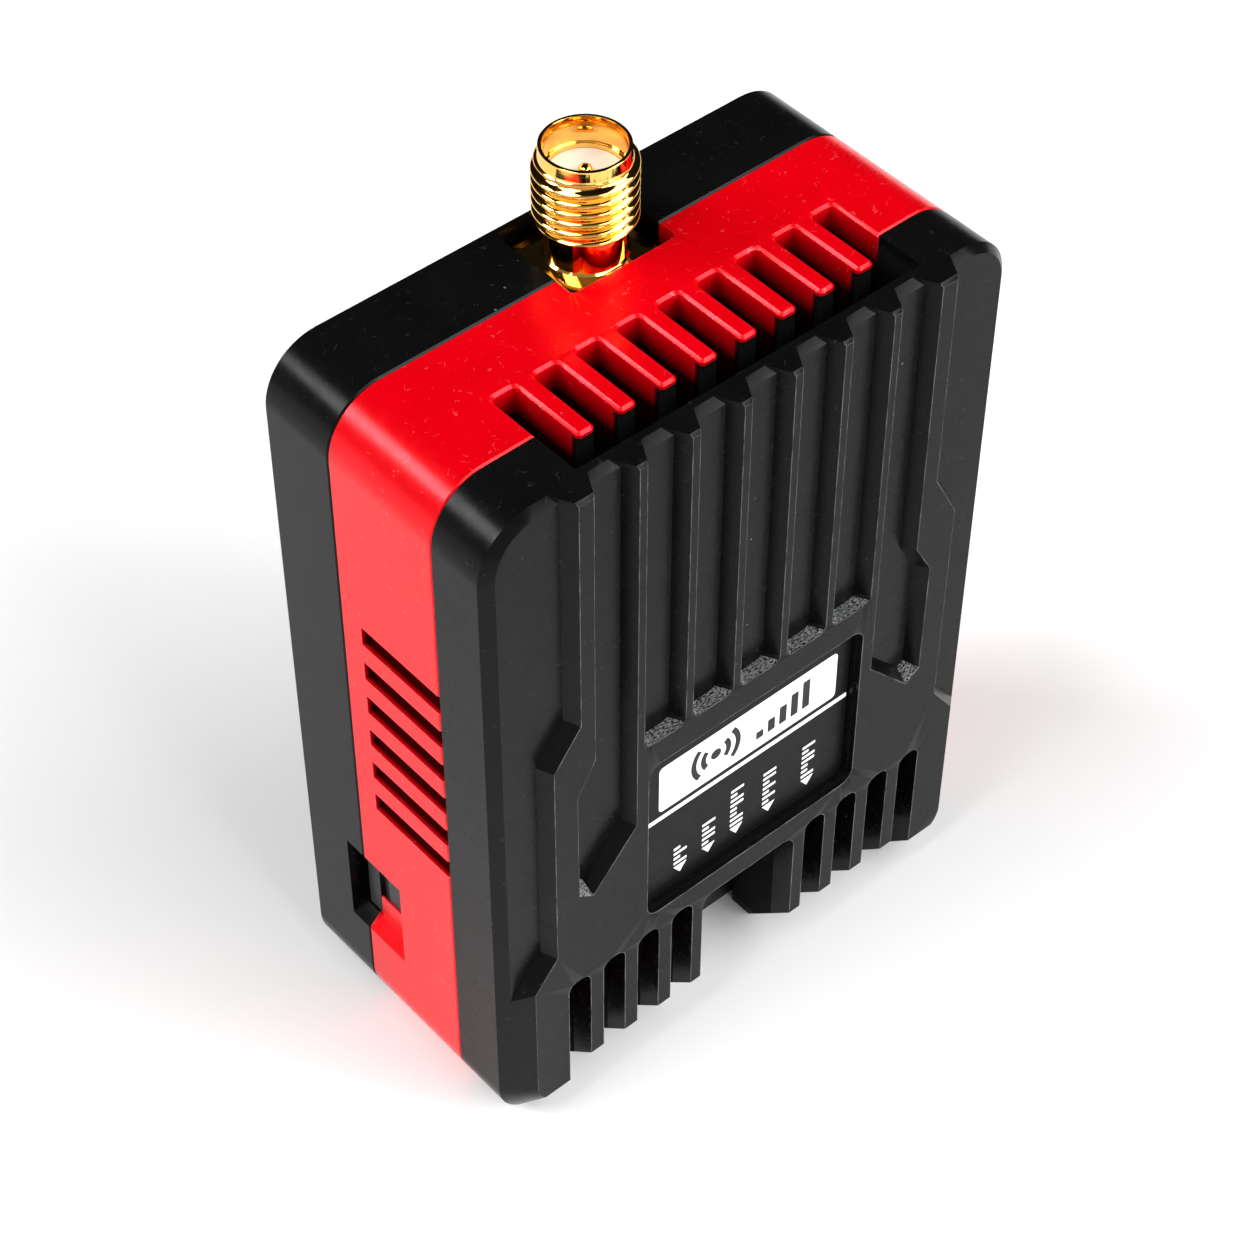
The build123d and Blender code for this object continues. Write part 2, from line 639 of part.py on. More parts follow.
# ---------------------------------------------------------------- electronics
def main_board():
    """Circuit board with notched corners, a notch for the pin, and four screw holes."""
    board = box((-BOARD_X, BOARD_X), BOARD_Y, BOARD_Z)
    through = (BOARD_Y[0] - REACH, BOARD_Y[1] + REACH)
    notch = POST / 2 + BOARD_NOTCH_GAP
    for side in (-1, 1):
        x = sorted((side * (SCREW_X - notch), side * CASE_W))
        board -= box(x, through, (-REACH, SCREW_Z[0] + notch))
        board -= box(x, through, (SCREW_Z[1] - notch, CASE_H + REACH))
    board -= board_rods(BOARD_HOLE_R, through)
    gap = CLEARANCE / 2
    pin = (JACK_X - PIN_R - gap, JACK_X + PIN_R + gap)
    board -= box(pin, through, (BARREL_Z - PIN_TAIL - gap, BARREL_Z + REACH))
    return board


def board_screws():
    """Four screws that hold the board to the back cover."""
    head = (BOARD_Y[0] - BOARD_SCREW_HEAD_H, BOARD_Y[0])
    tip = BACK_Y - COVER_BACK - CLEARANCE
    places = [(side * BOARD_SCREW_X, z) for side in (-1, 1) for z in BOARD_SCREW_Z]
    return [screw(x, z, head, tip, BOARD_SCREW_HEAD_R, BOARD_SCREW_R) for x, z in places]


def on_board(x, z, height):
    """Component body on the board's front face."""
    return box(x, (BOARD_Y[0] - height, BOARD_Y[0]), z)


def shield_can():
    """Pressed cover over the radio section, open towards the board."""
    can = on_board(CAN_X, CAN_Z, CAN_H)
    can = fillet(can.edges().filter_by(Axis.Y), CAN_R)
    inside_x = (CAN_X[0] + CAN_WALL, CAN_X[1] - CAN_WALL)
    inside_z = (CAN_Z[0] + CAN_WALL, CAN_Z[1] - CAN_WALL)
    return can - box(inside_x, (BOARD_Y[0] - CAN_H + CAN_WALL, BOARD_Y[0] + REACH), inside_z)


def power_amplifier():
    """Amplifier chip on the board's rear face."""
    x, z, height = AMPLIFIER
    return box(x, (BOARD_Y[1], BOARD_Y[1] + height), z)


def thermal_pad():
    """Soft pad that carries the amplifier's heat into the back cover."""
    return box(PAD_X, (BOARD_Y[1] + AMPLIFIER[2], BACK_Y - COVER_BACK), PAD_Z)


def capacitors():
    """Four tantalum blocks by the power input."""
    return [on_board((x, x + TANTALUM_W), TANTALUM_Z, TANTALUM_H) for x in TANTALUM_X]


def chip_capacitors():
    """Two rows of ceramic capacitors beside the shield can."""
    rows = []
    half = CHIP_SIZE[0] / 2
    for x in (-CHIP_X, CHIP_X):
        for i in range(CHIPS_PER_ROW):
            z = CHIP_LOW_Z + CHIP_PITCH * i
            rows.append(on_board((x - half, x + half), (z, z + CHIP_SIZE[1]), CHIP_SIZE[2]))
    return rows


def inductors():
    """Two shielded power inductors."""
    return [on_board((x, x + INDUCTOR_W), INDUCTOR_Z, INDUCTOR_H) for x in INDUCTOR_X]


def switch_body():
    """Side switch: block with a slot for the button."""
    body = box(SWITCH_X, SWITCH_Y, SWITCH_Z)
    slot_x = (SWITCH_X[0] - REACH, SWITCH_X[0] + SWITCH_SLOT_DEPTH)
    return body - box(slot_x, SWITCH_SLOT_Y, (SWITCH_Z[0] + SWITCH_SILL, SWITCH_Z[1] + REACH))


def side_button():
    """Sliding button in the switch's slot."""
    x = (SWITCH_X[0] + BUTTON_X[0], SWITCH_X[0] + BUTTON_X[1])
    y = (SWITCH_SLOT_Y[0] + BUTTON_CLEAR, SWITCH_SLOT_Y[1] - BUTTON_CLEAR)
    return box(x, y, (SWITCH_Z[0] + SWITCH_SILL + BUTTON_CLEAR, SWITCH_Z[1] - BUTTON_TOP_GAP))


def connector_board():
    """Small upright board that carries the wire connector."""
    y = (CONNECTOR_Y[1], CONNECTOR_Y[1] + SMALL_BOARD_T)
    return box((-SMALL_BOARD_X, SMALL_BOARD_X), y, (BOTTOM_WALL + CLEARANCE, SMALL_BOARD_TOP))


def board_header():
    """Block that joins the connector board to the main board."""
    return box((-HEADER_X, HEADER_X), (CONNECTOR_Y[1] + SMALL_BOARD_T, BOARD_Y[0]), HEADER_Z)


def wire_connector():
    """Downward-facing wire connector, open at its lower end."""
    side = GAP_RELIEF - CLEARANCE
    shell = box((GAP_X[0] - side, GAP_X[1] + side), CONNECTOR_Y, CONNECTOR_Z)
    mouth_x = (GAP_X[0] + MOUTH_INSET[0], GAP_X[1] - MOUTH_INSET[0])
    mouth_y = (CONNECTOR_Y[0] + MOUTH_INSET[1], CONNECTOR_Y[1] - MOUTH_INSET[1])
    return shell - box(mouth_x, mouth_y, (-REACH, MOUTH_TOP_Z))


def connector_pins():
    """Row of contact pins in the wire connector."""
    y = (CONNECTOR_Y[0] + CONNECTOR_Y[1]) / 2
    half = CONTACT_W / 2
    middle = (GAP_X[0] + GAP_X[1]) / 2
    starts = [middle + CONTACT_PITCH * (i - (CONTACTS - 1) / 2) for i in range(CONTACTS)]
    return [box((x - half, x + half), (y - half, y + half), (CONTACT_LOW_Z, MOUTH_TOP_Z)) for x in starts]


# ---------------------------------------------------------------- fan
def fan_frame():
    """Square frame with a round duct, and a motor base on three arms at the back."""
    half = FAN_SIZE / 2
    frame = box((-half, half), FAN_Y, (FAN_Z - half, FAN_Z + half))
    frame = fillet(frame.edges().filter_by(Axis.Y), FRAME_R)
    frame -= rod_y(0, FAN_Z, FAN_BORE_R, (FAN_Y[0] - REACH, FAN_Y[1] + REACH))
    base_y = (FAN_Y[1] - MOTOR_BASE_T, FAN_Y[1])
    base = rod_y(0, FAN_Z, MOTOR_BASE_R, base_y)
    arm = box((MOTOR_BASE_R - REACH / 2, FAN_BORE_R + 0.6), base_y, (-ARM_W / 2, ARM_W / 2))
    for i in range(ARMS):
        base += Pos(0, 0, FAN_Z) * Rot(0, 360 / ARMS * i + 90, 0) * arm
    tube = rod_y(0, FAN_Z, TUBE_R, (BEARING_Y[0], FAN_Y[1]))
    return frame + base + tube - rod_y(0, FAN_Z, BEARING_R, (FAN_Y[0], BEARING_Y[1]))


def fan_bearing():
    """Sleeve bearing in the fan's base tube."""
    bore = rod_y(0, FAN_Z, SHAFT_R + SHAFT_GAP, (BEARING_Y[0] - REACH, BEARING_Y[1] + REACH))
    return rod_y(0, FAN_Z, BEARING_R, BEARING_Y) - bore


def fan_stator():
    """Four-pole coil core pressed on the base tube."""
    core = rod_y(0, FAN_Z, CORE_R, CORE_Y)
    pole = box(POLE_X, CORE_Y, (-POLE_W / 2, POLE_W / 2))
    for i in range(POLES):
        core += Pos(0, 0, FAN_Z) * Rot(0, 360 / POLES * i + 45, 0) * pole
    return core - rod_y(0, FAN_Z, TUBE_R, (CORE_Y[0] - REACH, CORE_Y[1] + REACH))


def blade(index):
    """One blade: a pitched plate between two radii."""
    plate = Rot(BLADE_PITCH, 0, 0) * Box(BLADE_R - HUB_R + BLADE_ROOT, BLADE_T, BLADE_CHORD)
    plate = Pos((BLADE_R + HUB_R - BLADE_ROOT) / 2, 0, 0) * plate
    return Rot(0, 360 / BLADES * index, 0) * plate


def fan_rotor():
    """Hub cup with pitched blades."""
    low, high = ROTOR_Y
    blades = blade(0)
    for i in range(1, BLADES):
        blades += blade(i)
    blades = Pos(0, (low + high) / 2, FAN_Z) * blades
    blades &= rod_y(0, FAN_Z, BLADE_R, (low + CLEARANCE, high))
    cup = rod_y(0, FAN_Z, HUB_R, ROTOR_Y) - rod_y(0, FAN_Z, HUB_R - HUB_WALL, (low + HUB_WALL, high + REACH))
    blades -= rod_y(0, FAN_Z, HUB_R - HUB_WALL / 2, (low - REACH, high + REACH))
    return cup + blades - rod_y(0, FAN_Z, SHAFT_R, (low - REACH, high))


def fan_magnet():
    """Ring magnet inside the hub."""
    bore = rod_y(0, FAN_Z, HUB_R - HUB_WALL - MAGNET_T, (MAGNET_Y[0] - REACH, MAGNET_Y[1] + REACH))
    return rod_y(0, FAN_Z, HUB_R - HUB_WALL, MAGNET_Y) - bore


def fan_shaft():
    """Steel shaft fixed in the hub."""
    return rod_y(0, FAN_Z, SHAFT_R, SHAFT_Y)


def fan_gasket():
    """Foam ring between the fan and the heat sink."""
    half = FAN_SIZE / 2
    hole = half - GASKET_W
    ring = box((-half, half), (SINK_BACK, FAN_Y[0]), (FAN_Z - half, FAN_Z + half))
    return ring - box((-hole, hole), (SINK_BACK - REACH, FAN_Y[0] + REACH), (FAN_Z - hole, FAN_Z + hole))


NODES = {
    "front_heatsink": front_heatsink,
    "mid_frame": mid_frame,
    "back_cover": back_cover,
    "label": label,
    "case_screws": case_screws,
    "antenna_jack_body": jack_body,
    "antenna_jack_dielectric": jack_dielectric,
    "antenna_jack_pin": jack_pin,
    "main_board": main_board,
    "board_screws": board_screws,
    "rf_shield_can": shield_can,
    "power_amplifier": power_amplifier,
    "amplifier_thermal_pad": thermal_pad,
    "microcontroller": lambda: on_board(*MICROCONTROLLER),
    "video_processor": lambda: on_board(*VIDEO_PROCESSOR),
    "crystal": lambda: on_board(*CRYSTAL),
    "buck_converter": lambda: on_board(*BUCK_CONVERTER),
    "power_inductors": inductors,
    "tantalum_capacitors": capacitors,
    "chip_capacitors": chip_capacitors,
    "side_switch_body": switch_body,
    "side_button": side_button,
    "connector_board": connector_board,
    "board_header": board_header,
    "wire_connector": wire_connector,
    "connector_pins": connector_pins,
    "fan_gasket": fan_gasket,
    "fan_frame": fan_frame,
    "fan_bearing": fan_bearing,
    "fan_stator": fan_stator,
    "fan_rotor": fan_rotor,
    "fan_magnet": fan_magnet,
    "fan_shaft": fan_shaft,
}

os.makedirs("parts", exist_ok=True)
for name, make in NODES.items():
    made = make()
    shape = Compound(children=list(made)) if isinstance(made, list) else made
    export_step(shape, f"parts/{name}.step")
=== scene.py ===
import json
from math import copysign, cos, pi, radians, sin

import bmesh
import bpy
from mathutils import Matrix, Vector


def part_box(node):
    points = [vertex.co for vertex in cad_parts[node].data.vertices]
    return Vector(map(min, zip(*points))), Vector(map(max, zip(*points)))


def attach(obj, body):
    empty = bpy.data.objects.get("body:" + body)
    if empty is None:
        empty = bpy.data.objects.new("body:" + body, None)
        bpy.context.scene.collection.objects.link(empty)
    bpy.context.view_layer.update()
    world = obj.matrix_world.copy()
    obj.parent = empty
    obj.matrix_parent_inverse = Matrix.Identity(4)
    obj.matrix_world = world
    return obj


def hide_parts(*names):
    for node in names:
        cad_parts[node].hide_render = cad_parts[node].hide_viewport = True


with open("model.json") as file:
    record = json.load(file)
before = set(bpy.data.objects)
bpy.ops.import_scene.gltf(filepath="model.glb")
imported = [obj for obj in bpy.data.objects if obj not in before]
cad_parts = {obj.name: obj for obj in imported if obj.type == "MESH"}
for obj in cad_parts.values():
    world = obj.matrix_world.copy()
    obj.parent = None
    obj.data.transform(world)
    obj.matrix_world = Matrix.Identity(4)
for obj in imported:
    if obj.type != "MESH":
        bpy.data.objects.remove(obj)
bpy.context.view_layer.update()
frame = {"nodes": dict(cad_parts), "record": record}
MM = 0.001

heatsink_low, heatsink_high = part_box("front_heatsink")
label_low, label_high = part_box("label")
jack_low, jack_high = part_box("antenna_jack_body")
FRONT = heatsink_low.y
CASE_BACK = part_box("back_cover")[1].y
TOP = heatsink_high.z
# The side vents lie in this band of heights, and the port below it.
VENT_MIDDLE = 30.0 * MM
VENT_REACH = 9.0 * MM
PORT_TOP = 18.0 * MM
# The front ribs stand this far proud of the groove floors, and the case's outer corners have this radius.
RIB_DEPTH = 1.75 * MM
CASE_CORNER = 3.9 * MM


# ---------------------------------------------------------------- colours and nodes
def linear(hex_colour):
    """sRGB hex string to a linear RGBA colour."""
    parts = [int(hex_colour[i:i + 2], 16) / 255 for i in (1, 3, 5)]
    return [c / 12.92 if c <= 0.04045 else ((c + 0.055) / 1.055) ** 2.4 for c in parts] + [1.0]


def add(mat, kind, settings=None, values=None, links=None):
    """Adds a node with its settings, its input values, and links to its inputs from other nodes' sockets."""
    node = mat.node_tree.nodes.new(kind)
    for name, value in (settings or {}).items():
        setattr(node, name, value)
    for name, value in (values or {}).items():
        node.inputs[name].default_value = value
    for name, socket in (links or {}).items():
        mat.node_tree.links.new(socket, node.inputs[name])
    return node


# A mix node's first and second colours and its result, then the same for plain values.
MIX_A, MIX_B, MIX_OUT = 6, 7, 2
VALUE_A, VALUE_B, VALUE_OUT = 2, 3, 0


def surface(name, colour, metallic=0.0, roughness=0.5, specular=0.5):
    """Material with its uniform values on the shader's own sockets, and the object's coordinates."""
    mat = bpy.data.materials.new(name)
    mat.use_nodes = True
    shader = mat.node_tree.nodes["Principled BSDF"]
    shader.inputs["Base Color"].default_value = linear(colour)
    shader.inputs["Metallic"].default_value = metallic
    shader.inputs["Roughness"].default_value = roughness
    shader.inputs["Specular IOR Level"].default_value = specular
    at = add(mat, "ShaderNodeTexCoord").outputs["Object"]
    return mat, at


def finish_surface(mat, **sockets):
    """Links tone, roughness or relief to the shader."""
    shader = mat.node_tree.nodes["Principled BSDF"]
    names = {"tone": "Base Color", "rough": "Roughness", "relief": "Normal"}
    for name, socket in sockets.items():
        mat.node_tree.links.new(socket, shader.inputs[names[name]])
    return mat


# ---------------------------------------------------------------- marks that several finishes share
def dye_cloud(mat, at, dark, light, size_mm=4.0):
    """Slow change of tone over a few millimetres, as dye or plating takes unevenly."""
    cloud = add(mat, "ShaderNodeTexNoise", values={"Scale": 1 / (size_mm * MM), "Detail": 5.0},
                links={"Vector": at})
    level = add(mat, "ShaderNodeMapRange", values={"From Min": 0.3, "From Max": 0.7},
                links={"Value": cloud.outputs["Fac"]})
    tone = add(mat, "ShaderNodeMix", {"data_type": "RGBA"}, {MIX_A: linear(dark), MIX_B: linear(light)},
               {"Factor": level.outputs["Result"]})
    return tone.outputs[MIX_OUT]


def uneven_gloss(mat, at, low, high, size_mm=0.9):
    """Roughness that wanders between two values, as handling polishes some places."""
    cloud = add(mat, "ShaderNodeTexNoise", values={"Scale": 1 / (size_mm * MM), "Detail": 5.0},
                links={"Vector": at})
    values = {"From Min": 0.3, "From Max": 0.7, "To Min": low, "To Max": high}
    level = add(mat, "ShaderNodeMapRange", values=values, links={"Value": cloud.outputs["Fac"]})
    return level.outputs["Result"]


def blasted(mat, at, grain_mm, depth_mm):
    """Shallow pits left by blasting or by the mould. Real grit is finer: 0.1 mm is the least that shows."""
    pits = add(mat, "ShaderNodeTexNoise", values={"Scale": 1 / (grain_mm * MM), "Detail": 3.0},
               links={"Vector": at})
    relief = add(mat, "ShaderNodeBump", values={"Distance": depth_mm * MM},
                 links={"Height": pits.outputs["Fac"]})
    return relief.outputs["Normal"]


def hairlines(mat, at, tone, colour, strength, size_mm):
    """Short curved handling scratches. A real one is 0.01 mm wide and is drawn about 0.04 mm wide to show."""
    field = add(mat, "ShaderNodeTexNoise",
                values={"Scale": 1 / (size_mm * MM), "Detail": 1.0, "Distortion": 1.2},
                links={"Vector": at})
    offset = add(mat, "ShaderNodeMath", {"operation": "SUBTRACT"}, {1: 0.5}, {0: field.outputs["Fac"]})
    away = add(mat, "ShaderNodeMath", {"operation": "ABSOLUTE"}, links={0: offset.outputs["Value"]})
    values = {"From Min": 0.0, "From Max": 0.014, "To Min": strength, "To Max": 0.0}
    line = add(mat, "ShaderNodeMapRange", values=values, links={"Value": away.outputs["Value"]})
    gaps = add(mat, "ShaderNodeTexNoise", values={"Scale": 1 / (0.6 * size_mm * MM), "Detail": 2.0},
               links={"Vector": at})
    kept = add(mat, "ShaderNodeMapRange", values={"From Min": 0.58, "From Max": 0.64},
               links={"Value": gaps.outputs["Fac"]})
    mask = add(mat, "ShaderNodeMath", {"operation": "MULTIPLY"},
               links={0: line.outputs["Result"], 1: kept.outputs["Result"]})
    marked = add(mat, "ShaderNodeMix", {"data_type": "RGBA"}, {MIX_B: linear(colour)},
                 {"Factor": mask.outputs["Value"], MIX_A: tone})
    return marked.outputs[MIX_OUT]


def dust(mat, at, tone, colour, spacing_mm):
    """Specks of dust about 0.1 mm across, on one cell in six."""
    cells = add(mat, "ShaderNodeTexVoronoi", values={"Scale": 1 / (spacing_mm * MM)}, links={"Vector": at})
    speck = add(mat, "ShaderNodeMapRange",
                values={"From Min": 0.025, "From Max": 0.05, "To Min": 0.5, "To Max": 0.0},
                links={"Value": cells.outputs["Distance"]})
    draw = add(mat, "ShaderNodeSeparateColor", links={"Color": cells.outputs["Color"]})
    kept = add(mat, "ShaderNodeMath", {"operation": "GREATER_THAN"}, {1: 0.83}, {0: draw.outputs["Red"]})
    mask = add(mat, "ShaderNodeMath", {"operation": "MULTIPLY"},
               links={0: speck.outputs["Result"], 1: kept.outputs["Value"]})
    marked = add(mat, "ShaderNodeMix", {"data_type": "RGBA"}, {MIX_B: linear(colour)},
                 {"Factor": mask.outputs["Value"], MIX_A: tone})
    return marked.outputs[MIX_OUT]


def rubbed_and_highlit_edges(mat, at, tone, colour, width_mm, strength, behind):
    """Edges drawn pale in a broken line, up to the depth behind: partly rubbed-through metal, partly a
    painted edge highlight.
    """
    rounded_off = add(mat, "ShaderNodeBevel", {"samples": 6}, {"Radius": width_mm * MM})
    flat = add(mat, "ShaderNodeNewGeometry").outputs["Normal"]
    same = add(mat, "ShaderNodeVectorMath", {"operation": "DOT_PRODUCT"},
               links={0: rounded_off.outputs["Normal"], 1: flat})
    values = {"From Min": 0.97, "From Max": 0.9, "To Min": 0.0, "To Max": strength}
    edge = add(mat, "ShaderNodeMapRange", values=values, links={"Value": same.outputs["Value"]})
    patches = add(mat, "ShaderNodeTexNoise", values={"Scale": 1 / (1.5 * MM), "Detail": 4.0},
                  links={"Vector": at})
    kept = add(mat, "ShaderNodeMapRange",
               values={"From Min": 0.35, "From Max": 0.6, "To Min": 0.25, "To Max": 1.0},
               links={"Value": patches.outputs["Fac"]})
    mask = add(mat, "ShaderNodeMath", {"operation": "MULTIPLY"},
               links={0: edge.outputs["Result"], 1: kept.outputs["Result"]})
    where = add(mat, "ShaderNodeSeparateXYZ", links={"Vector": at}).outputs["Y"]
    exposed = add(mat, "ShaderNodeMath", {"operation": "LESS_THAN"}, {1: behind}, {0: where})
    shown = add(mat, "ShaderNodeMath", {"operation": "MULTIPLY"},
                links={0: mask.outputs["Value"], 1: exposed.outputs["Value"]})
    marked = add(mat, "ShaderNodeMix", {"data_type": "RGBA"}, {MIX_B: linear(colour)},
                 {"Factor": shown.outputs["Value"], MIX_A: tone})
    return marked.outputs[MIX_OUT]


def depth_in_case(mat, at):
    """Depth below the rounded outer skin of the case, and the height, of each point of a surface."""
    where = add(mat, "ShaderNodeSeparateXYZ", links={"Vector": at}).outputs
    beyond = []
    for axis, middle, half in (("X", 0.0, heatsink_high.x), ("Z", TOP / 2, TOP / 2)):
        offset = add(mat, "ShaderNodeMath", {"operation": "SUBTRACT"}, {1: middle}, {0: where[axis]})
        size = add(mat, "ShaderNodeMath", {"operation": "ABSOLUTE"}, links={0: offset.outputs["Value"]})
        past = add(mat, "ShaderNodeMath", {"operation": "SUBTRACT"}, {1: half - CASE_CORNER},
                   {0: size.outputs["Value"]})
        kept = add(mat, "ShaderNodeMath", {"operation": "MAXIMUM"}, {1: 0.0}, {0: past.outputs["Value"]})
        beyond.append(kept.outputs["Value"])
    reach = add(mat, "ShaderNodeCombineXYZ", links={"X": beyond[0], "Y": beyond[1]})
    length = add(mat, "ShaderNodeVectorMath", {"operation": "LENGTH"}, links={0: reach.outputs["Vector"]})
    depth = add(mat, "ShaderNodeMath", {"operation": "SUBTRACT"}, {0: CASE_CORNER},
                {1: length.outputs["Value"]})
    return depth.outputs["Value"], where["Z"]


# ---------------------------------------------------------------- finishes
# Black anodised aluminium: bead blasted, dyed and sealed. The dye swallows nearly all light, so the
# eye sees it almost only through the soft sheen of the sealed skin, and at edges drawn pale as wear and a
# painted highlight.
BLACK_DARK, BLACK_LIGHT = "#080808", "#0c0c0c"
BLACK_SHEEN = 0.10


def black_anodised():
    """Black anodised aluminium of the rear shell, with faint handling marks and a little dust."""
    mat, at = surface("black_anodised_aluminium", BLACK_DARK, specular=BLACK_SHEEN)
    tone = dye_cloud(mat, at, BLACK_DARK, BLACK_LIGHT)
    tone = hairlines(mat, at, tone, "#505252", 0.22, 1.0)
    tone = dust(mat, at, tone, "#808080", 1.9)
    return finish_surface(mat, tone=tone, rough=uneven_gloss(mat, at, 0.2, 0.27),
                          relief=blasted(mat, at, 0.2, 0.0015))


# Where the front grooves end: the height of the middle ones, half the width that they fill, and the side
# and height of the two outer ones.
GROOVE_END_Z = 30.5 * MM
GROOVES_HALF = 9.7 * MM
OUTER_END_X = 13.8 * MM
OUTER_END_Z = 20.8 * MM


def milled_ends(mat, at):
    """Where the end mill left chatter and pale painted light is laid on: the faces that face up at the low
    ends of the front grooves.
    """
    where = add(mat, "ShaderNodeSeparateXYZ", links={"Vector": at}).outputs
    facing = add(mat, "ShaderNodeNewGeometry").outputs["True Normal"]
    up = add(mat, "ShaderNodeSeparateXYZ", links={"Vector": facing}).outputs["Z"]
    ups = add(mat, "ShaderNodeMath", {"operation": "GREATER_THAN"}, {1: 0.6}, {0: up})
    near = add(mat, "ShaderNodeMath", {"operation": "COMPARE"}, {1: GROOVE_END_Z, 2: 0.3 * MM},
               {0: where["Z"]})
    middle = add(mat, "ShaderNodeMath", {"operation": "COMPARE"}, {1: 0.0, 2: GROOVES_HALF}, {0: where["X"]})
    inside = add(mat, "ShaderNodeMath", {"operation": "GREATER_THAN"}, {1: FRONT + 0.06 * MM},
                 {0: where["Y"]})
    both = add(mat, "ShaderNodeMath", {"operation": "MULTIPLY"},
               links={0: near.outputs["Value"], 1: middle.outputs["Value"]})
    cut = add(mat, "ShaderNodeMath", {"operation": "MULTIPLY"},
              links={0: both.outputs["Value"], 1: inside.outputs["Value"]})
    side = add(mat, "ShaderNodeMath", {"operation": "ABSOLUTE"}, links={0: where["X"]})
    corner_x = add(mat, "ShaderNodeMath", {"operation": "COMPARE"}, {1: OUTER_END_X, 2: 1.0 * MM},
                   {0: side.outputs["Value"]})
    corner_z = add(mat, "ShaderNodeMath", {"operation": "COMPARE"}, {1: OUTER_END_Z, 2: 0.9 * MM},
                   {0: where["Z"]})
    corner = add(mat, "ShaderNodeMath", {"operation": "MULTIPLY"},
                 links={0: corner_x.outputs["Value"], 1: corner_z.outputs["Value"]})
    either = add(mat, "ShaderNodeMath", {"operation": "MAXIMUM"},
                 links={0: cut.outputs["Value"], 1: corner.outputs["Value"]})
    return add(mat, "ShaderNodeMath", {"operation": "MULTIPLY"},
               links={0: either.outputs["Value"], 1: ups.outputs["Value"]})


def black_anodised_milled():
    """The same finish on the grooved front, with chatter on the groove ends lightened by painted light, edges
    drawn pale as wear and a painted highlight, and dull walls inside its slots. Real chatter is 0.04 mm and
    is drawn 0.09 mm apart to show."""
    mat, at = surface("black_anodised_milled_aluminium", BLACK_DARK, specular=BLACK_SHEEN)
    tone = dye_cloud(mat, at, BLACK_DARK, BLACK_LIGHT)
    tone = hairlines(mat, at, tone, "#505252", 0.22, 1.0)
    tone = dust(mat, at, tone, "#808080", 1.9)
    # Pale grey along the front's edges: partly wear, partly a painted highlight.
    tone = rubbed_and_highlit_edges(mat, at, tone, "#a4a6a6", 0.08, 0.8, FRONT + 0.15 * MM)
    ends = milled_ends(mat, at).outputs["Value"]
    streaks = add(mat, "ShaderNodeMapping", values={"Scale": (0.4, 1.0, 1.0)}, links={"Vector": at})
    chatter = add(mat, "ShaderNodeTexNoise", values={"Scale": 1 / (0.09 * MM), "Detail": 2.0},
                  links={"Vector": streaks.outputs["Vector"]})
    level = add(mat, "ShaderNodeMapRange", values={"From Min": 0.4, "From Max": 0.62},
                links={"Value": chatter.outputs["Fac"]})
    # Pale chatter on the up-facing groove ends: real milling marks, lightened with painted light because
    # those faces face up.
    chatter_and_painted_light = add(mat, "ShaderNodeMix", {"data_type": "RGBA"},
               {MIX_A: linear("#141414"), MIX_B: linear("#868888")},
               {"Factor": level.outputs["Result"]})
    tone = add(mat, "ShaderNodeMix", {"data_type": "RGBA"},
               links={"Factor": ends, MIX_A: tone, MIX_B: chatter_and_painted_light.outputs[MIX_OUT]}).outputs[MIX_OUT]
    height = add(mat, "ShaderNodeMath", {"operation": "MULTIPLY"},
                 links={0: chatter.outputs["Fac"], 1: ends})
    relief = add(mat, "ShaderNodeBump", values={"Distance": 0.06 * MM},
                 links={"Height": height.outputs["Value"], "Normal": blasted(mat, at, 0.2, 0.003)})
    depth, _ = depth_in_case(mat, at)
    back = add(mat, "ShaderNodeSeparateXYZ", links={"Vector": at}).outputs["Y"]
    under_skin = add(mat, "ShaderNodeMapRange", values={"From Min": 0.4 * MM, "From Max": 0.8 * MM},
                     links={"Value": depth})
    past_ribs = add(mat, "ShaderNodeMath", {"operation": "GREATER_THAN"}, {1: FRONT + RIB_DEPTH}, {0: back})
    cavity = add(mat, "ShaderNodeMath", {"operation": "MULTIPLY"},
                 links={0: under_skin.outputs["Result"], 1: past_ribs.outputs["Value"]})
    dull = 0.75
    rough = add(mat, "ShaderNodeMix", {"data_type": "FLOAT"}, {VALUE_B: dull},
                {"Factor": cavity.outputs["Value"], VALUE_A: uneven_gloss(mat, at, 0.22, 0.29)})
    return finish_surface(mat, tone=tone, rough=rough.outputs[VALUE_OUT], relief=relief.outputs["Normal"])


# Red anodised aluminium: clear red dye over blasted metal, so it has a metal's depth, a red sheen where
# it mirrors the floor, and a white one at a slant. Inside the slots and vents, painted shade darkens it
# nearly to black.
RED_DARK, RED_LIGHT, RED_PAINTED_SHADE = "#ea000e", "#f40014", "#260103"


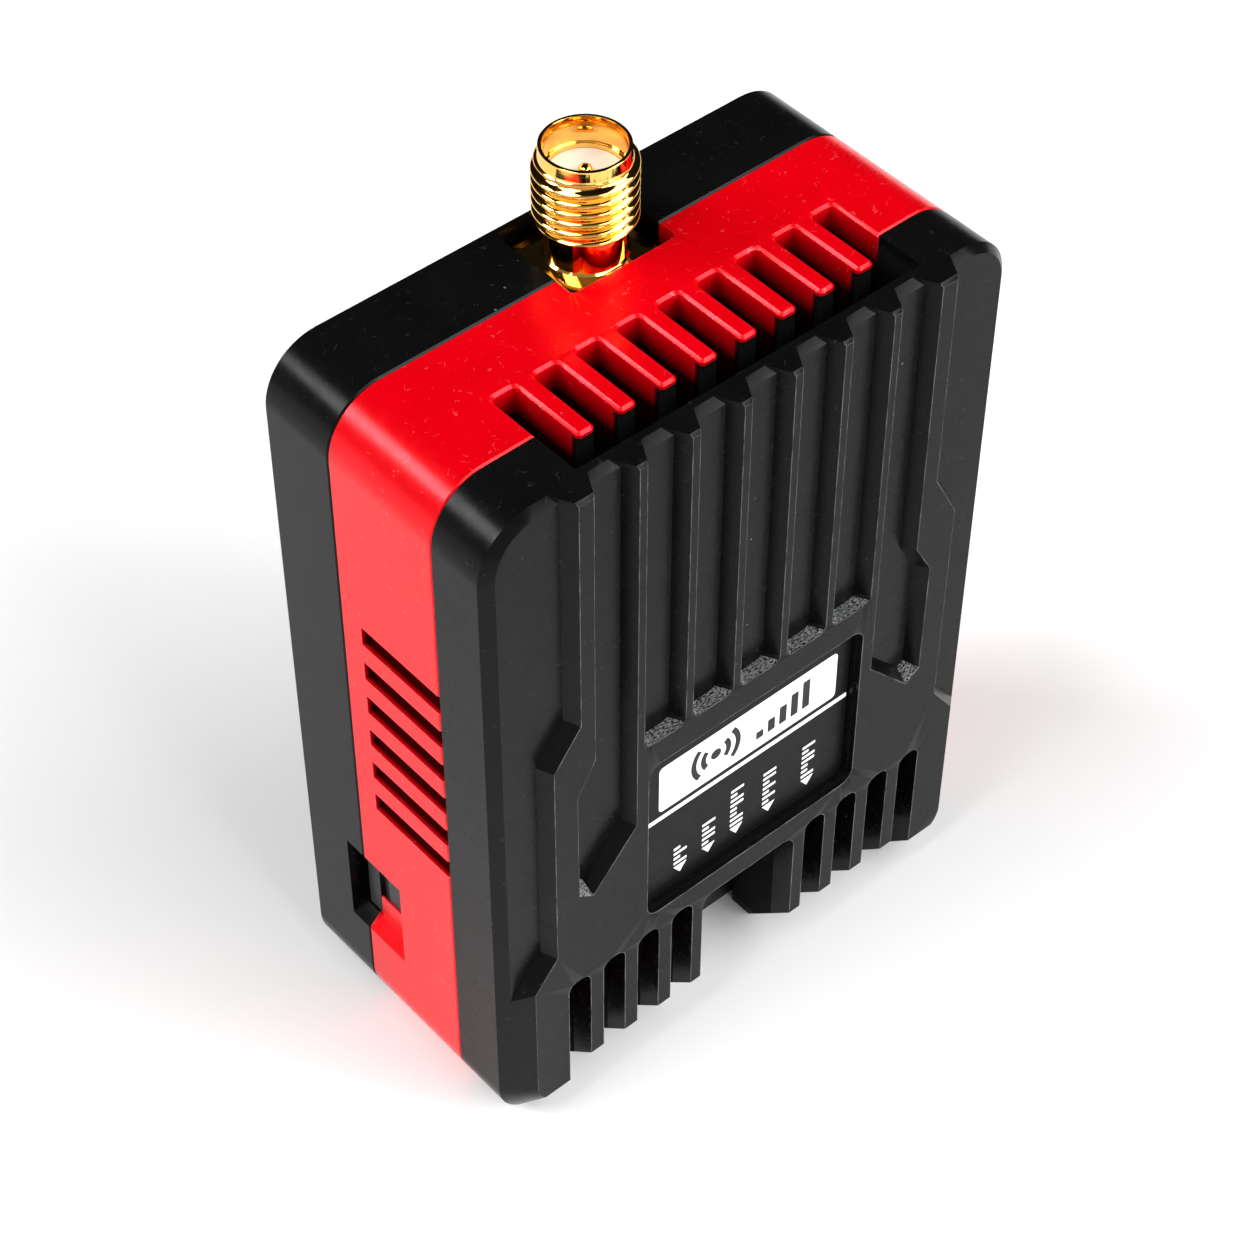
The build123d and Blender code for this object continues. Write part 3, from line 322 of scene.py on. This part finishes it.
def red_anodised():
    """Red anodised aluminium of the middle layer, with painted shade darkening it inside the comb of slots
    and the side vents.
    """
    mat, at = surface("red_anodised_aluminium", RED_DARK, metallic=0.36, specular=0.25)
    tone = dye_cloud(mat, at, RED_DARK, RED_LIGHT, 3.0)
    tone = hairlines(mat, at, tone, "#ff7078", 0.55, 1.1)
    tone = dust(mat, at, tone, "#ff9a9e", 1.8)
    # Pinkish pale along the edges: partly wear, partly a painted highlight.
    tone = rubbed_and_highlit_edges(mat, at, tone, "#ff9aa0", 0.05, 0.4, CASE_BACK)
    # Painted shade: the red is darkened towards near black with depth inside the comb slots above the port
    # and inside the side vents.
    depth, height = depth_in_case(mat, at)
    comb = add(mat, "ShaderNodeMapRange", values={"From Min": 0.15 * MM, "From Max": 2.1 * MM},
               links={"Value": depth})
    vents = add(mat, "ShaderNodeMapRange",
                values={"From Min": 0.1 * MM, "From Max": 0.3 * MM, "To Max": 0.93},
                links={"Value": depth})
    vent_band = add(mat, "ShaderNodeMath", {"operation": "COMPARE"}, {1: VENT_MIDDLE, 2: VENT_REACH},
                    {0: height})
    vent_painted_shade = add(mat, "ShaderNodeMath", {"operation": "MULTIPLY"},
                   links={0: vents.outputs["Result"], 1: vent_band.outputs["Value"]})
    port = add(mat, "ShaderNodeMath", {"operation": "GREATER_THAN"}, {1: PORT_TOP}, {0: height})
    comb_painted_shade = add(mat, "ShaderNodeMath", {"operation": "MULTIPLY"},
                  links={0: comb.outputs["Result"], 1: port.outputs["Value"]})
    shade = add(mat, "ShaderNodeMath", {"operation": "MAXIMUM"},
                links={0: vent_painted_shade.outputs["Value"], 1: comb_painted_shade.outputs["Value"]})
    tone = add(mat, "ShaderNodeMix", {"data_type": "RGBA"}, {MIX_B: linear(RED_PAINTED_SHADE)},
               {"Factor": shade.outputs["Value"], MIX_A: tone}).outputs[MIX_OUT]
    return finish_surface(mat, tone=tone, rough=uneven_gloss(mat, at, 0.2, 0.27),
                          relief=blasted(mat, at, 0.2, 0.0015))


# Gold plate over turned brass: a mirror with faint turning marks round the jack's axis. Real marks are
# 0.02 mm apart and are drawn 0.12 mm apart to show.
def gold_plate():
    """Gold-plated brass of the antenna jack and the contacts."""
    mat, at = surface("gold_plated_brass", "#fbc562", metallic=1.0)
    tone = dye_cloud(mat, at, "#f9be56", "#ffd07a", 1.2)
    stretched = add(mat, "ShaderNodeMapping", values={"Scale": (0.15, 0.15, 1.0)}, links={"Vector": at})
    turning = add(mat, "ShaderNodeTexNoise", values={"Scale": 1 / (0.12 * MM), "Detail": 2.0},
                  links={"Vector": stretched.outputs["Vector"]})
    relief = add(mat, "ShaderNodeBump", values={"Distance": 0.0006 * MM},
                 links={"Height": turning.outputs["Fac"]})
    return finish_surface(mat, tone=tone, rough=uneven_gloss(mat, at, 0.05, 0.1, 0.5),
                          relief=relief.outputs["Normal"])


def grained(name, dark, light, roughness, metallic=0.0, grain_mm=0.16, depth_mm=0.003, specular=0.5):
    """A moulded, coated or plated finish with a fine grain and a slight change of tone."""
    mat, at = surface(name, light, metallic, roughness, specular)
    tone = dye_cloud(mat, at, dark, light, 2.0)
    rough = uneven_gloss(mat, at, roughness * 0.85, min(1.0, roughness * 1.15), 0.7)
    return finish_surface(mat, tone=tone, rough=rough, relief=blasted(mat, at, grain_mm, depth_mm))


# Green solder mask over etched copper on glass cloth: glossy, with tracks that stand slightly proud.
def solder_mask():
    """Green circuit board with raised tracks."""
    mat, at = surface("solder_mask_on_glass_cloth", "#0b3a20", roughness=0.3)
    turned = add(mat, "ShaderNodeMapping", values={"Rotation": (pi / 2, 0, 0)}, links={"Vector": at})
    values = {"Scale": 1 / (1.4 * MM), "Brick Width": 1.0, "Row Height": 0.5, "Mortar Size": 0.06}
    tracks = add(mat, "ShaderNodeTexBrick", values=values, links={"Vector": turned.outputs["Vector"]})
    tone = add(mat, "ShaderNodeMix", {"data_type": "RGBA"},
               {MIX_A: linear("#0b3a20"), MIX_B: linear("#145c34")},
               {"Factor": tracks.outputs["Fac"]})
    relief = add(mat, "ShaderNodeBump", values={"Distance": 0.02 * MM},
                 links={"Height": tracks.outputs["Fac"]})
    return finish_surface(mat, tone=tone.outputs[MIX_OUT], relief=relief.outputs["Normal"])


gold = gold_plate()
# Screen-printed inks: white is chalky and dense, black has a slight sheen.
white_ink = grained("white_screen_ink", "#f2f2f0", "#fbfbfa", 0.55, grain_mm=0.1, depth_mm=0.001)
black_ink = grained("black_screen_ink", "#0a0a0a", "#101010", 0.4, grain_mm=0.1, depth_mm=0.001,
                    specular=0.3)
finishes = {
    "black_anodised": black_anodised(),
    "red_anodised": red_anodised(),
    "gold": gold,
    # Matte printed polyester film: smoother and greyer than the metal round it.
    "label_print": grained("printed_polyester_film", "#0b0b0b", "#0e0e0e", 0.34, depth_mm=0.001,
                           specular=0.09),
    # Black oxide on steel: a thin dark skin that lets the metal's sheen through.
    "black_steel": grained("black_oxide_steel", "#161617", "#222224", 0.38, metallic=0.6),
    # Turned PTFE: dense white and waxy.
    "ptfe": grained("turned_ptfe", "#e6e5e1", "#eeede9", 0.4),
    "circuit_board": solder_mask(),
    # Tin plate: bright, slightly grey, softly mirrored.
    "tin": grained("tin_plated_steel", "#b9b9b6", "#cfcfcc", 0.28, metallic=1.0),
    # Moulded epoxy of the chip packages: dull black with a fine sparkle of filler.
    "ic_black": grained("moulded_epoxy", "#141416", "#1c1c1e", 0.6),
    "tantalum": grained("yellow_moulded_epoxy", "#b97a20", "#d39536", 0.5),
    "ceramic": grained("fired_ceramic", "#7d5d41", "#94704f", 0.4),
    # Filled silicone: soft, chalky grey.
    "thermal_pad": grained("filled_silicone", "#868c93", "#979da4", 0.8),
    # Glass-filled nylon: satin from the mould, slightly grey at the surface.
    "black_plastic": grained("moulded_nylon", "#0d0d0e", "#141415", 0.4),
    # Closed-cell foam: dull, with open bubbles on its cut face.
    "foam": grained("closed_cell_foam", "#101010", "#1b1b1b", 0.95, grain_mm=0.4, depth_mm=0.05),
    "bronze": grained("sintered_bronze", "#80602f", "#97703a", 0.45, metallic=0.9),
    "steel": grained("ground_steel", "#a9aaac", "#bfc0c2", 0.25, metallic=1.0),
    "ferrite": grained("bonded_ferrite", "#242426", "#303032", 0.6),
}


def dress_nodes():
    """Gives each CAD node the finish of its material slot."""
    for part in frame["record"]["subparts"]:
        obj = frame["nodes"][part["node"]]
        obj.data.materials.clear()
        obj.data.materials.append(finishes[part["material_slot"]])
    frame["nodes"]["front_heatsink"].data.materials[0] = black_anodised_milled()


def soften_edges(node, width_mm, segments=2):
    """Welds a shell's seams and evens its shading. The bevel comes out a few microns wide, not width_mm."""
    obj = frame["nodes"][node]
    weld = obj.modifiers.new("weld", "WELD")
    weld.merge_threshold = 0.002 * MM
    bevel = obj.modifiers.new("edge_break", "BEVEL")
    bevel.width = width_mm * MM
    bevel.segments = segments
    bevel.limit_method = "ANGLE"
    bevel.angle_limit = radians(25)
    bevel.use_clamp_overlap = True
    bevel.harden_normals = False
    shade = obj.modifiers.new("even_shading", "WEIGHTED_NORMAL")
    shade.keep_sharp = False
    shade.weight = 100


# ---------------------------------------------------------------- mesh pieces
def finish_mesh(name, build, material, body):
    """Turns a bmesh into a piece that rides on a body."""
    mesh = bpy.data.meshes.new(name)
    bmesh.ops.recalc_face_normals(build, faces=build.faces)
    build.to_mesh(mesh)
    build.free()
    mesh.materials.append(material)
    obj = bpy.data.objects.new(name, mesh)
    bpy.context.scene.collection.objects.link(obj)
    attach(obj, body)
    return obj


# ---------------------------------------------------------------- antenna jack
THREAD_PITCH = 0.7056 * MM
CREST_R = 3.175 * MM
ROOT_R = 2.76 * MM
NECK_R = 2.5 * MM
RIM_R = 2.73 * MM
BORE_R = 2.47 * MM
INSULATOR_R = 2.3 * MM


def thread_radius(turn, height, low, high):
    """Radius of a helical thread with rounded crests and sharper roots, fading in and out at its ends."""
    phase = (height / THREAD_PITCH - turn) % 1.0
    profile = (0.5 - 0.5 * cos(2 * pi * phase)) ** 0.8
    run_in = min(1.0, max(0.0, (height - low) / (0.45 * THREAD_PITCH)))
    run_out = min(1.0, max(0.0, (high - height) / (0.45 * THREAD_PITCH)))
    return ROOT_R + (CREST_R - ROOT_R) * profile * run_in * run_out


def lathe_rings(build, rings, sides):
    """Skin of quads round closed rings; a ring is a function from an angle to a radius and a height."""
    middle = (jack_low + jack_high) / 2
    grid = []
    for ring in rings:
        row = []
        for i in range(sides):
            angle = 2 * pi * i / sides
            radius, height = ring(i / sides)
            spot = (middle.x + radius * cos(angle), middle.y + radius * sin(angle), height)
            row.append(build.verts.new(spot))
        grid.append(row)
    for lower, upper in zip(grid, grid[1:]):
        for i in range(sides):
            j = (i + 1) % sides
            build.faces.new((lower[i], lower[j], upper[j], upper[i]))
    for row in (grid[0], grid[-1]):
        build.faces.new(row)


def shade_smooth(piece):
    """Smooth shading that keeps the turned and milled corners crisp."""
    piece.data.shade_smooth()
    piece.data.set_sharp_from_angle(angle=radians(32))


def antenna_jack():
    """Threaded shell of the jack, with a true helical thread, on a square flange with four board legs."""
    insulator_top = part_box("antenna_jack_dielectric")[1].z
    rim = jack_high.z
    flange_top = TOP - 0.9 * MM
    thread_low = TOP + 1.5 * MM
    thread_high = TOP + 5.95 * MM
    build = bmesh.new()
    rings = []

    def plain_ring(radius, height):
        """Adds a level ring of one radius."""
        rings.append(lambda turn: (radius, height))

    fillet = 0.12 * MM
    for radius, height in ((NECK_R + fillet, flange_top - 0.2 * MM), (NECK_R + fillet, flange_top),
                           (NECK_R, flange_top + fillet), (NECK_R, thread_low - 0.2 * MM)):
        plain_ring(radius, height)
    steps = 96
    for k in range(steps + 1):
        height = thread_low + (thread_high - thread_low) * k / steps
        rings.append(lambda turn, h=height: (thread_radius(turn, h, thread_low, thread_high), h))
    edge = 0.07 * MM
    hole_r = INSULATOR_R + 0.02 * MM
    for radius, height in ((RIM_R + 0.02 * MM, thread_high + edge), (RIM_R, thread_high + 2 * edge),
                           (RIM_R, rim - 1.6 * edge), (RIM_R - 0.3 * edge, rim - 0.6 * edge),
                           (RIM_R - edge, rim - 0.1 * edge), (RIM_R - 1.4 * edge, rim),
                           (BORE_R + 1.2 * edge, rim), (BORE_R + 0.4 * edge, rim - 0.3 * edge),
                           (BORE_R, rim - edge), (BORE_R, insulator_top + 0.34 * MM),
                           (BORE_R - 0.5 * edge, insulator_top + 0.3 * MM),
                           (hole_r, insulator_top + 0.3 * MM), (hole_r, insulator_top + 0.25 * MM),
                           (hole_r, flange_top - 0.1 * MM)):
        plain_ring(radius, height)
    lathe_rings(build, rings, 128)
    shell = finish_mesh("antenna_jack_shell", build, gold, "case")
    shade_smooth(shell)
    flange = jack_flange(flange_top)
    shade_smooth(flange)
    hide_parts("antenna_jack_body")


def upright_slab(build, outline, levels):
    """Closed slab: the outline, drawn in by each level's inset, at each level's height."""
    centre = sum((Vector(point) for point in outline), Vector((0, 0))) / len(outline)
    rows = []
    for height, inset in levels:
        row = []
        for point in outline:
            away = Vector(point) - centre
            drawn = Vector((away.x - copysign(inset, away.x), away.y - copysign(inset, away.y)))
            row.append(build.verts.new((*(centre + drawn), height)))
        rows.append(row)
    count = len(outline)
    for lower, upper in zip(rows, rows[1:]):
        for i in range(count):
            j = (i + 1) % count
            build.faces.new((lower[i], lower[j], upper[j], upper[i]))
    build.faces.new(list(reversed(rows[0])))
    build.faces.new(rows[-1])


def jack_flange(flange_top):
    """Square flange under the jack, its barrel, and the four legs soldered to the board."""
    build = bmesh.new()
    x = (jack_low.x / MM, jack_high.x / MM)
    middle_y = (jack_low.y + jack_high.y) / 2 / MM
    half_depth = 2.975
    y = (middle_y - half_depth, middle_y + half_depth)
    outline = [(a * MM, b * MM) for a, b in rounded(x, y, 0.3)]
    edge = 0.12 * MM
    bottom = flange_top - 1.2 * MM
    levels = ((bottom, edge), (bottom + edge, 0), (flange_top - edge, 0),
              (flange_top - 0.3 * edge, 0.3 * edge), (flange_top, edge))
    upright_slab(build, outline, levels)
    centre_x = (x[0] + x[1]) / 2
    barrel_z = TOP - 4.3 * MM
    barrel_r = 2.1
    barrel = [(a * MM, b * MM) for a, b in disc((centre_x, middle_y), barrel_r, 48)]
    upright_slab(build, barrel, ((barrel_z, 0), (bottom + edge, 0)))
    for side in (-1, 1):
        for face in (-1, 1):
            leg_x = sorted(centre_x + side * reach for reach in (0.9, 1.9))
            leg_y = sorted(middle_y + face * reach for reach in (0.8, 1.5))
            leg = [(a * MM, b * MM) for a, b in rounded(leg_x, leg_y, 0.08)]
            upright_slab(build, leg, ((jack_low.z, 0), (barrel_z, 0)))
    return finish_mesh("antenna_jack_flange", build, gold, "case")


# ---------------------------------------------------------------- label print
INK = 0.012 * MM
LABEL_FACE = label_low.y


def ink_outline(build, outline):
    """Thin slab of ink in front of the label, from (x, z) points."""
    back = LABEL_FACE
    front = LABEL_FACE - INK
    front_ring = [build.verts.new((x * MM, front, z * MM)) for x, z in outline]
    back_ring = [build.verts.new((x * MM, back, z * MM)) for x, z in outline]
    build.faces.new(front_ring)
    build.faces.new(list(reversed(back_ring)))
    count = len(outline)
    for i in range(count):
        j = (i + 1) % count
        build.faces.new((front_ring[i], back_ring[i], back_ring[j], front_ring[j]))


def rounded(x, z, corner):
    """Rounded rectangle from (low, high) pairs, in mm."""
    points = []
    corners = ((x[1] - corner, z[1] - corner, 0), (x[0] + corner, z[1] - corner, 1),
               (x[0] + corner, z[0] + corner, 2), (x[1] - corner, z[0] + corner, 3))
    for cx, cz, quarter in corners:
        points += [on_circle((cx, cz), corner, pi / 2 * (quarter + k / 4)) for k in range(5)]
    return points


def on_circle(centre, radius, angle):
    """Point of a circle at an angle in radians."""
    return centre[0] + radius * cos(angle), centre[1] + radius * sin(angle)


def arc_band(centre, radius, width, start, end):
    """Band along an arc between two angles in degrees, in mm."""
    angles = [radians(start + (end - start) * k / 12) for k in range(13)]
    outer = [on_circle(centre, radius + width / 2, a) for a in angles]
    inner = [on_circle(centre, radius - width / 2, a) for a in angles]
    return outer + list(reversed(inner))


def ink(name, outlines, material, lift=0.0):
    """One printed piece made of several outlines."""
    build = bmesh.new()
    for outline in outlines:
        ink_outline(build, outline)
    bmesh.ops.translate(build, verts=build.verts, vec=(0, -lift, 0))
    return finish_mesh(name, build, material, "case")


def label_print():
    """White name plate with a radio-wave sign and signal bars, a line, and signs for the five contacts."""
    plate = rounded((-7.38, 7.55), (22.4, 26.5), 0.35)
    line = rounded((label_low.x / MM + 0.05, label_high.x / MM - 0.1), (21.62, 22.0), 0.05)
    ink("label_plate", [plate], white_ink)
    ink("label_line", [line], white_ink)
    middle = 24.5
    source_x = -2.7
    symbols = [disc((source_x, middle), 0.42)]
    for radius in (1.05, 1.85):
        for start in (-42, 138):
            symbols.append(arc_band((source_x, middle), radius, 0.42, start, start + 84))
    bars = 5
    for k in range(bars):
        low = 0.7 + 0.98 * k
        symbols.append(rounded((low, low + 0.6), (middle - 1.25, middle - 0.6 + 0.46 * k), 0.08))
    ink("label_symbols", symbols, black_ink, INK)
    ink("contact_signs", contact_signs(), white_ink)


def contact_signs():
    """A pointer and a column of ticks over each contact, each column of its own length and rhythm."""
    half = 0.55
    stroke = 0.23
    pitch = 0.47
    pointer = 0.75
    low_z = 15.25
    # X of each column, then its ticks from the bottom: 1 is a full tick, less is a short one.
    columns = ((-5.5, (1, 0.5, 1, 0.5)), (-3.1, (0.5, 1, 1, 0.5, 1)),
               (-0.7, (1, 1, 0.5, 0.5, 1, 1, 0.5, 1)),
               (2.1, (0.5, 1, 0.5, 1, 0.5, 1, 1)), (5.5, (1, 0.5, 0.5, 1, 1, 0.5, 1)))
    shapes = []
    for x, ticks in columns:
        shapes.append([(x - half, low_z + pointer), (x, low_z), (x + half, low_z + pointer)])
        for i, length in enumerate(ticks):
            low = low_z + pointer + 0.22 + pitch * i
            shapes.append(rounded((x - half, x - half + 2 * half * length), (low, low + stroke), 0.05))
    return shapes


def disc(centre, radius, sides=24):
    """Round dot, in mm."""
    return [on_circle(centre, radius, 2 * pi * k / sides) for k in range(sides)]


# ---------------------------------------------------------------- floor, light, camera
def studio():
    """White paper floor, pressed smooth: dull and even."""
    mesh = bpy.data.meshes.new("floor")
    build = bmesh.new()
    half = 3.0
    corners = [build.verts.new((x * half, y * half, 0.0)) for x, y in ((-1, -1), (1, -1), (1, 1), (-1, 1))]
    build.faces.new(corners)
    build.to_mesh(mesh)
    build.free()
    ground = bpy.data.objects.new("floor", mesh)
    bpy.context.scene.collection.objects.link(ground)
    mat, at = surface("white_paper", "#efefef", roughness=0.9, specular=0.0)
    mesh.materials.append(finish_surface(mat, tone=dye_cloud(mat, at, "#ededed", "#f1f1f1", 60.0)))


def soft_box(name, direction, distance, size, brightness):
    """Rectangular light aimed at the object. Its power gives the named brightness, with white paper at 1."""
    light = bpy.data.lights.new(name, "AREA")
    light.shape = "RECTANGLE"
    light.size, light.size_y = size
    light.energy = brightness * pi * size[0] * size[1]
    obj = bpy.data.objects.new(name, light)
    middle = Vector((0, 0, TOP / 2))
    obj.location = middle + Vector(direction).normalized() * distance
    obj.rotation_euler = (middle - obj.location).to_track_quat("-Z", "Y").to_euler()
    bpy.context.scene.collection.objects.link(obj)


def room():
    """Grey room that is dark above and behind the object, so that its top faces stay deep."""
    world = bpy.data.worlds.new("grey_room")
    world.use_nodes = True
    toward = add(world, "ShaderNodeTexCoord").outputs["Generated"]
    dark_side = (0.45, 0.515, 0.73)
    facing = add(world, "ShaderNodeVectorMath", {"operation": "DOT_PRODUCT"}, {1: dark_side}, {0: toward})
    values = {"From Min": -0.2, "From Max": 0.45, "To Min": 0.6, "To Max": 0.01}
    level = add(world, "ShaderNodeMapRange", values=values, links={"Value": facing.outputs["Value"]})
    background = world.node_tree.nodes["Background"]
    world.node_tree.links.new(level.outputs["Result"], background.inputs["Color"])
    bpy.context.scene.world = world


def camera():
    """Long-lens view from the front left and above."""
    lens = bpy.data.cameras.new("camera")
    lens.sensor_width = 36.0
    lens.lens = 89.78
    lens.clip_start = 0.01
    obj = bpy.data.objects.new("camera", lens)
    eye = Vector((-90.12, -100.95, 170.55)) * MM
    aim = Vector((-1.18, 0.60, 26.69)) * MM
    turn = (aim - eye).to_track_quat("-Z", "Y").to_matrix().to_4x4()
    obj.matrix_world = Matrix.Translation(eye) @ turn @ Matrix.Rotation(radians(0.32), 4, "Z")
    bpy.context.scene.collection.objects.link(obj)
    bpy.context.scene.camera = obj


dress_nodes()
soften_edges("front_heatsink", 0.17, 3)
soften_edges("mid_frame", 0.06)
soften_edges("back_cover", 0.06)
antenna_jack()
label_print()
studio()
# Name, direction from the object, distance in metres, width and height in metres, and brightness.
soft_box("left_box", (-0.62, 0.52, 0.60), 2.0, (0.64, 0.60), 16.0)
soft_box("high_box", (-0.50, 0.08, 0.86), 2.0, (0.9, 0.9), 7.5)
soft_box("right_box", (0.52, -0.48, 0.707), 2.0, (1.2, 1.2), 5.0)
soft_box("front_box", (0.20, -0.80, 0.57), 2.0, (1.5, 1.2), 4.8)
soft_box("low_box", (0.42, -0.86, 0.16), 0.7, (0.35, 0.16), 8.0)
room()
camera()
bpy.context.scene.view_settings.view_transform = "Standard"
